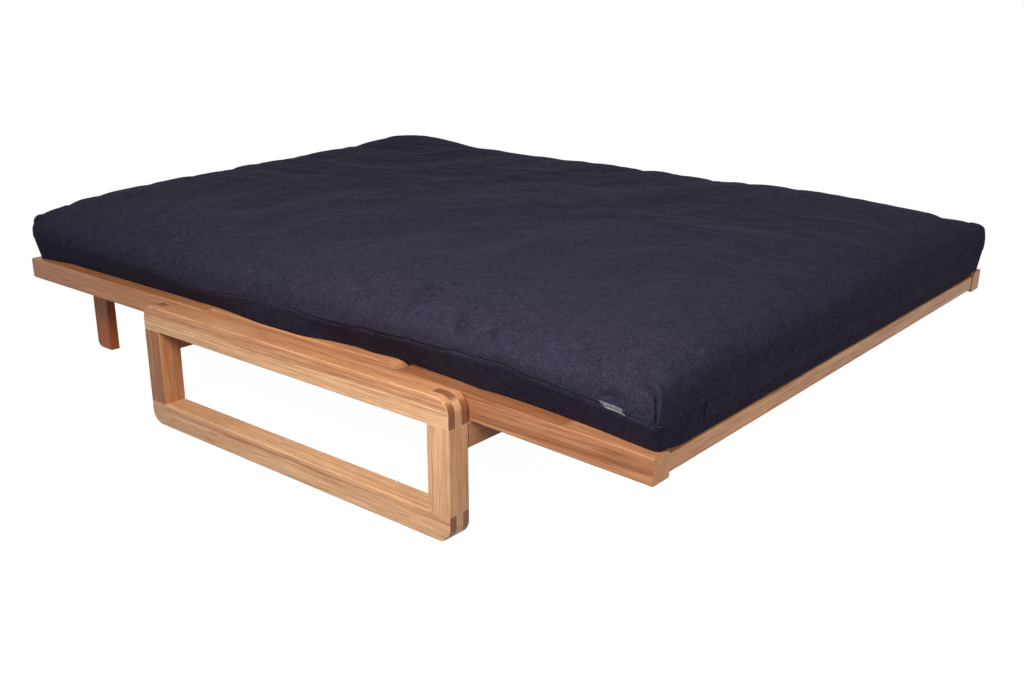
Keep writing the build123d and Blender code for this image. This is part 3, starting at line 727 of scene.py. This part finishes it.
def settle_cloth(cover, rows):
    """Lets the cover billow and crease over its filling, held back to a few millimetres."""
    before = places_of(cover.data)
    height = before[:, 2] - Mattress.bottom
    from_side = Mattress.half_width - np.abs(before[:, 0])
    from_end = Mattress.half_length - np.abs(before[:, 1] - Mattress.middle_y)
    held = np.interp(height, *zip(*CLOTH_HOLD))
    held = np.maximum(held, corner_hold * bell(np.hypot(from_side, from_end), corner_hold_reach))
    core = cover.vertex_groups.new(name="core")
    tight = cover.vertex_groups.new(name="seam")
    for vertex, weight in enumerate(held):
        core.add([vertex], float(weight), "REPLACE")
    tight.add([int(v) for v in rows[len(UPPER_WALL)]], 1.0, "REPLACE")
    cloth = cover.modifiers.new("billow", "CLOTH")
    for setting, value in CLOTH_SETTINGS.items():
        setattr(cloth.settings, setting, value)
    cloth.settings.effector_weights.gravity = 0
    cloth.point_cache.frame_start, cloth.point_cache.frame_end = 1, cloth_frames
    for step in range(1, cloth_frames + 1):
        bpy.context.scene.frame_set(step)
    posed = cover.evaluated_get(bpy.context.evaluated_depsgraph_get())
    after = places_of(posed.data)
    cover.modifiers.remove(cloth)
    bpy.context.scene.frame_set(1)
    move = after - before
    inward = np.minimum(from_side, from_end)
    move[:, 2] -= cloth_lift * swell(inward - rim_inset, cloth_lift_reach) * (height > seam_height)
    length = np.linalg.norm(move, axis=1, keepdims=True)
    move *= cloth_share * cloth_cap / np.maximum(length, cloth_cap)
    set_places(cover.data, before + move)


def subdivide(piece):
    modifier = piece.modifiers.new("finer", "SUBSURF")
    modifier.levels = modifier.render_levels = 1
    modifier.uv_smooth = "NONE"
    dg = bpy.context.evaluated_depsgraph_get()
    fine = bpy.data.meshes.new_from_object(piece.evaluated_get(dg))
    piece.modifiers.clear()
    old, piece.data = piece.data, fine
    bpy.data.meshes.remove(old)


def fold(aside, furrow, ridge, ridge_aside, ridge_width):
    """A furrow of depth 1 along a line, with a ridge beside it."""
    return ridge * bell(aside - ridge_aside * MM, ridge_width * MM) - bell(aside, furrow * MM)


# Creases yield how far the cover moves out along its normals. up is the height over the waist seam.

def seam_puckers(x, y, up, edge):
    """Short puckers out of the waist seam, and longer swells over the rim and the top."""
    round_side = ripple(x, y, 32 * MM, 11) + 0.6 * ripple(x, y, 70 * MM, 12)
    near_seam = np.exp(-np.abs(up) / (22 * MM)) * swell(np.abs(up), 5 * MM)
    yield 1.1 * MM * (edge < 45 * MM) * (up > 2 * MM - seam_height) * round_side * near_seam
    yield 1.0 * MM * ripple(x * 0.5, y, 60 * MM, 13) * np.exp(-edge / 0.20) * (up > 0)
    yield 1.4 * MM * ripple(x * 0.25, y, 120 * MM, 14) * (up > 0)


def drag_lines(x, y, up):
    draw = np.random.default_rng(21)
    for line_y, reach, depth in DRAG_LINES:
        inward = Mattress.half_width + x
        sway = 6 * MM * np.sin(inward / 0.05 + draw.uniform(0, 6)) + draw.uniform(-0.10, 0.10) * inward
        fade = np.clip(1.15 - inward / reach, 0, 1)
        fade *= np.clip((up - 6 * MM) / (25 * MM), 0, 1)
        yield fade * depth * MM * fold(y - line_y - sway, *drag_profile)


def short_folds(x, y, up):
    for outer_x, outer_y, inner_x, inner_y, depth in SHORT_FOLDS:
        run_x, run_y = inner_x - outer_x, inner_y - outer_y
        length = math.hypot(run_x, run_y)
        share = ((x - outer_x) * run_x + (y - outer_y) * run_y) / length ** 2
        beyond = np.maximum(np.abs(share - 0.5) - 0.4, 0) * length
        bow = 5 * MM * np.sin(math.pi * np.clip(share, 0, 1))
        aside = ((y - outer_y) * run_x - (x - outer_x) * run_y) / length - bow
        fade = bell(beyond, 14 * MM) * np.clip((up - 30 * MM) / (30 * MM), 0, 1)
        yield fade * depth * MM * fold(aside, *fold_profile)


def corner_darts(corner_x, corner_y, up):
    """The seam down each corner, and the short hooked fold at its top."""
    above = np.clip(up / (4 * MM), 0, 1)
    off_dart = (corner_x - corner_y) / 2 ** 0.5
    fade = above * np.clip((dart_height - up) / (8 * MM), 0, 1)
    fade *= np.clip((40 * MM - corner_x - corner_y) / (12 * MM), 0, 1)
    beside = bell(off_dart - 7 * MM, 5 * MM) + bell(off_dart + 7 * MM, 5 * MM)
    yield fade * MM * (1.2 * beside - 5.0 * bell(off_dart, 2.0 * MM))
    along_hook = np.clip((corner_y - 6 * MM) / hook_length, 0, 1)
    off_hook = corner_x - (6 + 10 * along_hook) * MM
    past_hook = np.maximum(np.abs(corner_y - 6 * MM - hook_length / 2) - hook_length / 2, 0)
    fade = above * bell(past_hook, 4 * MM) * np.clip((up - 30 * MM) / (12 * MM), 0, 1)
    yield fade * hook_depth * MM * fold(off_hook, *hook_profile)


def tag_dimple(x, y, up):
    """The hollow over the rear end of the tag."""
    over_tag = np.hypot((y - tag_rear_y + 10 * MM) / 1.5, up - 22 * MM)
    yield -8 * MM * bell(over_tag, 10 * MM) * (x < 0)


def crease_cover(cover):
    """Pushes the cover out and in along its normals by all of its creases."""
    places = places_of(cover.data)
    m = Mattress
    x, y, up = places[:, 0], places[:, 1], places[:, 2] - m.bottom - seam_height
    corner_x, corner_y = m.half_width - np.abs(x), np.minimum(y - m.front, m.rear - y)
    push = np.zeros(len(places))
    for creases in (
        seam_puckers(x, y, up, np.minimum(corner_x, corner_y)), drag_lines(x, y, up),
        short_folds(x, y, up), corner_darts(corner_x, corner_y, up), tag_dimple(x, y, up),
    ):
        for crease in creases:
            push += crease
    set_places(cover.data, places + normals_of(cover.data) * push[:, None])


def fall_with_seat(places):
    """Turns what lies on the seat leaf as that leaf rests, easing in over the first fold."""
    share = np.clip((first_fold.y + seat_turn_blend - places[:, 1]) / (2 * seat_turn_blend), 0, 1)
    angle = seat_fall * share * share * (3 - 2 * share)
    y, z = places[:, 1] - first_fold.y, places[:, 2] - first_fold.z
    turned = places.copy()
    turned[:, 1] = first_fold.y + y * np.cos(angle) - z * np.sin(angle)
    turned[:, 2] = first_fold.z + y * np.sin(angle) + z * np.cos(angle)
    return turned


def part_cover(cover, name, keep):
    """One part of the whole cover, with the whole's normals, so that the parting doesn't show."""
    mesh = cover.data.copy()
    mesh.name = name
    kept = keep(triples(mesh.polygons, "center")[:, 1])
    attribute = mesh.attributes.new("whole_normal", "FLOAT_VECTOR", "POINT")
    attribute.data.foreach_set("vector", triples(cover.data.vertex_normals, "vector").ravel())
    work = bmesh.new()
    work.from_mesh(mesh)
    work.faces.ensure_lookup_table()
    bmesh.ops.delete(work, geom=[work.faces[i] for i in np.flatnonzero(~kept)], context="FACES")
    work.to_mesh(mesh)
    work.free()
    whole = triples(mesh.attributes["whole_normal"].data, "vector")
    mesh.attributes.remove(mesh.attributes["whole_normal"])
    mesh.normals_split_custom_set_from_vertices([tuple(n) for n in whole])
    return linked(name, mesh)


def add_mattress(linen, shaded_boxing_linen, thread):
    """The cover and all that is sewn to it. Returns the waist seam's places."""
    cover, rows = mattress_cover(linen, shaded_boxing_linen)
    settle_cloth(cover, rows)
    subdivide(cover)
    crease_cover(cover)
    set_places(cover.data, fall_with_seat(places_of(cover.data)))
    front = part_cover(cover, "mattress_cover_front", lambda y: y < parting_y)
    rear = part_cover(cover, "mattress_cover_rear", lambda y: y >= parting_y)
    places, normals = places_of(cover.data), normals_of(cover.data)
    levels = [(places[row], normals[row]) for row in rows]
    bpy.data.objects.remove(cover)
    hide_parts("mattress_seat", "mattress_seat_fold", "mattress_back")
    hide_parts("mattress_tail_fold", "mattress_tail")
    blend_over_fold(front)
    blend_over_fold(rear)
    seam = levels[len(UPPER_WALL)][0]
    add_seam_welt(seam, thread)
    add_placket(levels, linen, thread)
    return seam


def blend_over_fold(piece):
    """Bakes a piece's placement into its mesh."""
    places = places_of(piece.data)
    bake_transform(piece)


def thread_row(name, spots, thread):
    """Stitches along a line of places and normals, each a small rounded bar lying on the cloth."""
    points = np.array([place + normal * stitch_stand for place, normal in spots])
    normals = np.array([normal for _, normal in spots])
    travel = travel_along(points)
    places, faces = [], []
    around = [(math.cos(a), math.sin(a)) for a in np.linspace(0, 2 * math.pi, stitch_sides + 1)[:-1]]
    for start in np.arange(0, travel[-1] - stitch_length, stitch_length + stitch_gap):
        first = len(places)
        for share, girth, lift in STITCH_RINGS:
            at = start + share * stitch_length
            centre, up = place_along(at, travel, points), place_along(at, travel, normals)
            up /= np.linalg.norm(up)
            ahead = place_along(at + MM, travel, points) - centre
            side = np.cross(ahead / (np.linalg.norm(ahead) or 1), up)
            centre = centre + up * stitch_half * (0.2 + 0.6 * lift)
            for across, above in around:
                places.append(centre + (side * across + up * above) * stitch_half * girth)
        for a, b, c, d in strip_faces(len(STITCH_RINGS), stitch_sides, closed=True):
            faces.append((first + a, first + d, first + c, first + b))
        last = len(places) - stitch_sides
        faces.append(tuple(range(first + stitch_sides - 1, first - 1, -1)))
        faces.append(tuple(range(last, last + stitch_sides)))
    made = cloth_piece(name, places, faces, [place[:2] for place in places], thread)
    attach(made, "seat_leaf")


def add_seam_welt(points, thread):
    """The turned edge of cloth that stands out of the waist seam all round, parted like the cover."""
    before = points[:, 1] < parting_y
    starts = np.flatnonzero(before & ~np.roll(before, 1))[0]
    order = np.roll(np.arange(len(points)), -starts)
    ahead = np.roll(points, -1, axis=0) - np.roll(points, 1, axis=0)
    outward = np.stack([ahead[:, 1], -ahead[:, 0]], 1)
    outward /= np.linalg.norm(outward, axis=1)[:, None]
    if (outward * points[:, :2]).sum() < 0:
        outward = -outward
    row = len(WELT_SECTION)
    front, rear = order[before[order]], order[~before[order]]
    rear = np.concatenate([front[-1:], rear, front[:1]])
    for name, chosen in (("seam_welt_front", front), ("seam_welt_rear", rear)):
        places, marks = [], []
        for step, column in enumerate(chosen):
            girth = 1 + welt_unevenness * math.sin(step * 0.9) * math.sin(step * 0.37)
            for k, (out, up) in enumerate(WELT_SECTION):
                reach = outward[column] * out * girth * MM
                places.append((*(points[column][:2] + reach), points[column][2] + up * MM))
                marks.append((step * edge_spacing, k * 0.6 * MM))
        faces = strip_faces(len(chosen), row, closed=True)
        faces.append(tuple(range(row)))
        faces.append(tuple(range(len(places) - 1, len(places) - row - 1, -1)))
        welt = cloth_piece(name, places, faces, marks, thread)
        blend_over_fold(welt)


def up_the_wall(levels, column, travel):
    """A place on the wall and its normal, by the way up from the waist seam, negative below it."""
    seam = len(UPPER_WALL)
    near = range(seam + wall_rows_below, seam - wall_rows_above - 1, -1)
    places = np.array([levels[k][0][column] for k in near])
    normals = np.array([levels[k][1][column] for k in near])
    way = travel_along(places)
    way -= way[wall_rows_below]
    normal = place_along(travel, way, normals)
    normal[2] *= 0.3
    return place_along(travel, way, places), normal / np.linalg.norm(normal)


def add_placket(levels, linen, thread):
    """The flap over the zip along the front. It hangs from the waist seam, and is tacked at its ends."""
    around = levels[len(UPPER_WALL)][0]
    on_front = (around[:, 1] < Mattress.front + 12 * MM) & (np.abs(around[:, 0]) < placket_reach)
    columns = sorted(np.flatnonzero(on_front), key=lambda v: around[v, 0])
    places = []
    for column in columns:
        for travel, lift in PLACKET_SECTION:
            place, normal = up_the_wall(levels, column, travel * MM)
            places.append(place + normal * lift * MM)
    faces = strip_faces(len(columns), len(PLACKET_SECTION))
    flap = cloth_piece("zip_placket", places, faces, [(place[0], place[2]) for place in places], linen)
    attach(flap, "seat_leaf")
    spots = [up_the_wall(levels, column, placket_stitch_travel) for column in columns]
    thread_row("placket_stitches", spots, thread)
    for name, column in (("left_tack", columns[1]), ("right_tack", columns[-2])):
        thread_row(name, [up_the_wall(levels, column, travel * MM) for travel in TACK_TRAVEL], thread)


def add_frame_materials():
    """Each wooden and steel node gets a material of its kind, and each wooden one its own cut of the log."""
    steel = steel_material("zinc_steel", srgb(178, 174, 168))
    screws = steel_material("screw_steel", srgb(150, 148, 144))
    for seed, (name, node) in enumerate(sorted(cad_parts.items())):
        if name.startswith("mattress"):
            continue
        if name in STEEL_NODES:
            made = steel
        elif name.endswith("_screws"):
            made = screws
        else:
            low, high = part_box(name)
            grain = max(range(3), key=lambda k: (high - low)[k])
            colours = next(row[1:] for row in WOOD_FINISHES_AND_SHADE if any(word in name for word in row[0]))
            finish_and_shade = dict(zip(FINISH_INPUTS, (srgb(*colour) for colour in colours)))
            pale = next((depth for word, depth in PALE_EDGES if word in name), 0.0)
            made = wood_material("wood_" + name, grain, seed + first_wood_seed, finish_and_shade, low, high, pale)
        node.data.materials.clear()
        node.data.materials.append(made)


def add_label(cloth, seam):
    """A blank woven tag, folded and caught in the waist seam on the left side near the front corner."""
    left = seam[seam[:, 0] < -Mattress.half_width + 25 * MM]
    left = left[np.argsort(left[:, 1])]
    places, marks = [], []
    row = len(TAG_SECTION)
    ways = travel_along(np.array(TAG_SECTION) * MM)
    for i in range(tag_steps + 1):
        share = i / tag_steps
        y = tag_rear_y + share * (tag_front_y - tag_rear_y)
        root = place_along(y, left[:, 1], left)
        hidden = tag_tuck * max(1 - share / tag_tuck_share, 0)
        curl = 1 + tag_curl * math.sin(7.0 * share)
        for (out, up), way in zip(TAG_SECTION, ways):
            rise = up + (tag_tuck_height - up) * hidden
            places.append(root + np.array([-out * curl * MM, tag_lean * up / tag_height, rise * MM]))
            marks.append((y, way))
    faces = strip_faces(tag_steps + 1, row)
    faces.append(tuple(range(row - 1, -1, -1)))
    faces.append(tuple(range(tag_steps * row, (tag_steps + 1) * row)))
    made = cloth_piece("woven_label", places, faces, marks, cloth)
    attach(made, "seat_leaf")
    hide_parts("mattress_label")


def add_stage():
    """A floor that looks white and keeps the bed's shadow, but throws little light back up at it."""
    far = floor_half
    floor = mesh_piece("floor", [(-far, -far, 0), (far, -far, 0), (far, far, 0), (-far, far, 0)], [range(4)])
    made, w, shader = new_material("white_floor")
    shader.inputs["Base Color"].default_value = srgb(74, 73, 76)
    shader.inputs["Roughness"].default_value = 0.9
    white = w.node("ShaderNodeBsdfDiffuse", {"Color": srgb(250, 250, 250)})
    glow = w.node("ShaderNodeEmission", {"Color": (1, 1, 1, 1), "Strength": floor_glow})
    pale = w.node("ShaderNodeMixShader", {0: floor_glow_share, 1: white.outputs[0], 2: glow.outputs[0]})
    mixed = w.node("ShaderNodeMixShader", {0: seen_ray(w), 1: shader.outputs[0], 2: pale.outputs[0]})
    output = next(n for n in made.node_tree.nodes if n.type == "OUTPUT_MATERIAL")
    w.feed(output.inputs["Surface"], mixed.outputs[0])
    floor.data.materials.append(made)

    world = bpy.data.worlds.new("soft_room")
    bpy.context.scene.world = world
    world.use_nodes = True
    world.node_tree.nodes.clear()
    w = Wiring(world.node_tree)
    room = w.node("ShaderNodeBackground", {"Color": (0.88, 0.90, 1, 1), "Strength": room_strength})
    white = w.node("ShaderNodeBackground", {"Color": (1, 1, 1, 1), "Strength": 1.0})
    mixed = w.node("ShaderNodeMixShader", {0: seen_ray(w), 1: room.outputs[0], 2: white.outputs[0]})
    w.node("ShaderNodeOutputWorld", {"Surface": mixed.outputs[0]})


def seen_ray(w):
    """1 for rays that show the stage: straight to the camera, or by a reflection or through glass."""
    light_path = w.node("ShaderNodeLightPath").outputs
    seen = w.sum("MAXIMUM", light_path["Is Camera Ray"], light_path["Is Glossy Ray"])
    return w.sum("MAXIMUM", seen, light_path["Is Transmission Ray"])


def add_lamp(name, place, aim, size, watts):
    lamp = bpy.data.lights.new(name, "AREA")
    lamp.shape = "DISK"
    lamp.size = size
    lamp.energy = watts
    made = linked(name, lamp)
    made.location = place
    made.rotation_euler = (Vector(aim) - Vector(place)).to_track_quat("-Z", "Y").to_euler()
    made.visible_camera = False


def add_camera():
    camera = bpy.data.cameras.new("camera")
    camera.sensor_fit = "HORIZONTAL"
    camera.sensor_width = camera_sensor_mm
    camera.lens = camera_lens_mm
    camera.clip_end = 200
    made = linked("camera", camera)
    made.location = camera_place
    made.rotation_euler = sight(camera_bearing, camera_dip).to_track_quat("-Z", "Y").to_euler()
    bpy.context.scene.camera = made


effects = {"wood": make_wood_effect(), "linen": make_linen_effect(), "steel": make_steel_effect()}

add_camera()
add_stage()
for lamp in LAMPS:
    add_lamp(*lamp)

linen = linen_material("dark_linen", srgb(23, 19, 31), srgb(79, 72, 91), 1.5 * MM, 0.12 * MM)
# Painted shade: the boxing's linen is the top's linen made darker, for the shade under the waist seam's
# overhang.
shaded_boxing_linen = linen_material("boxing_linen_painted_shade", srgb(19, 16, 28), srgb(70, 63, 83), 1.5 * MM, 0.12 * MM)
thread = linen_material("seam_thread", srgb(38, 33, 47), srgb(92, 84, 104), 0.5 * MM, 0.1 * MM)
pale, bright = srgb(104, 102, 106), srgb(240, 236, 238)
label_cloth = linen_material("label_weave", pale, bright, 0.7 * MM, 0.2 * MM, banded=True)

add_frame_materials()
add_label(label_cloth, add_mattress(linen, shaded_boxing_linen, thread))

bpy.context.scene.view_settings.view_transform = "Standard"
